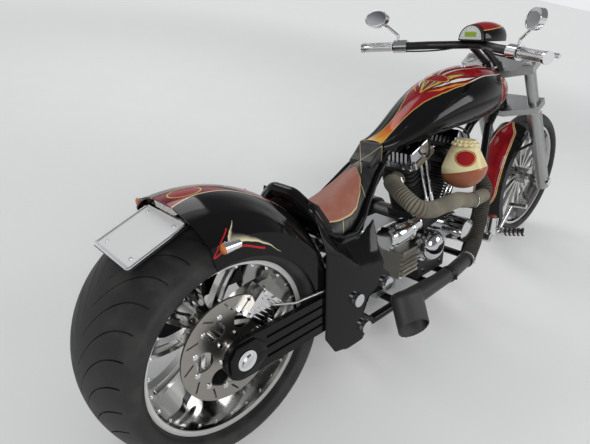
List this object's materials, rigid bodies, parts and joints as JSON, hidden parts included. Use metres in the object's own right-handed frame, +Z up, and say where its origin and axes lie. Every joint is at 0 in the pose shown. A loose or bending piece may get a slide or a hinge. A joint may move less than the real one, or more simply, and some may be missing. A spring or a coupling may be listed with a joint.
{
  "type": "custom chopper motorcycle",
  "caption": "Long low custom motorcycle with a very wide rear tyre, raked fork, stretched tank and open V-twin, leaning on its side stand.",
  "frame": {"origin": "on the ground under the middle of the parked machine's bounding box", "axes": "+X forwards along the machine, +Y to its left, +Z up"},
  "size_m": [2.7295, 0.9265, 1.2016],
  "materials": {
    "black_paint": "gloss black paint",
    "candy_black": "gloss black lacquer with dark red panels",
    "red_paint": "deep red lacquer with gold lines over black",
    "satin_black": "satin black heat paint",
    "chrome": "polished chrome plate",
    "polished_alloy": "polished aluminium",
    "satin_alloy": "satin aluminium",
    "dark_alloy": "black coated cast aluminium",
    "steel": "ground steel",
    "wrap": "steel pipe under tan woven heat wrap",
    "tyre_rubber": "black tyre rubber",
    "belt_rubber": "black toothed belt rubber",
    "leather": "brown leather with gold piping",
    "cream": "cream enamel over brown",
    "lamp": "clear moulded lens",
    "plate": "blank pale plate",
    "gauge_black": "black bezel with a pale face"
  },
  "bodies": {
    "chassis": {"frame": "black_paint", "cradle_tubes": "black_paint", "cross_tubes": "black_paint", "swingarm": "black_paint", "side_covers": "candy_black", "rear_fender": "candy_black", "tail_lamp": "lamp", "plate_bracket": "black_paint", "number_plate": "plate", "turn_signals": "chrome", "seat_shell": "candy_black", "seat_pad": "leather", "fuel_tank": "red_paint", "engine_cases": "dark_alloy", "cylinders": "dark_alloy", "rocker_covers": "chrome", "pushrod_tubes": "chrome", "air_cleaner": "cream", "intake": "polished_alloy", "primary_cover": "black_paint", "gearbox": "satin_alloy", "drive_belt": "belt_rubber", "chrome_covers": "chrome", "exhaust_headers": "wrap", "muffler": "satin_black", "foot_controls": "polished_alloy", "rear_caliper": "polished_alloy", "brake_hose": "steel", "rear_axle": "chrome"},
    "rear_wheel_body": {"rear_tyre": "tyre_rubber", "rear_wheel": "chrome", "rear_disc": "steel", "rear_pulley": "black_paint"},
    "steering_body": {"triple_clamps": "black_paint", "fork_tubes": "satin_alloy", "fork_legs": "satin_alloy", "front_axle": "chrome", "front_caliper": "polished_alloy", "handlebar": "black_paint", "hand_controls": "chrome", "mirrors": "chrome", "headlamp": "candy_black", "gauge": "gauge_black", "front_fender": "candy_black"},
    "front_wheel_body": {"front_tyre": "tyre_rubber", "front_wheel": "chrome", "front_disc": "steel"},
    "stand_body": {"side_stand": "black_paint"}
  },
  "joints": [
    {"name": "rear_wheel_spin", "type": "hinge", "parent": "chassis", "child": "rear_wheel_body", "pos_m": [-1.031, -0.13555, 0.33284], "axis": [0, 0.9659, -0.2588], "continuous": true},
    {"name": "steering", "type": "hinge", "parent": "chassis", "child": "steering_body", "pos_m": [0.97855, -0.14173, 0.30978], "axis": [-0.5878, 0.2094, 0.7815], "range_deg": [-22, 29]},
    {"name": "front_wheel_spin", "type": "hinge", "parent": "steering_body", "child": "front_wheel_body", "pos_m": [1.01893, -0.13709, 0.33891], "axis": [0.0494, 0.9734, -0.2237], "continuous": true},
    {"name": "side_stand_fold", "type": "hinge", "parent": "chassis", "child": "stand_body", "pos_m": [-0.271, -0.0404, 0.07751], "axis": [0, 0.2588, 0.9659], "range_deg": [0, 92]}
  ]
}
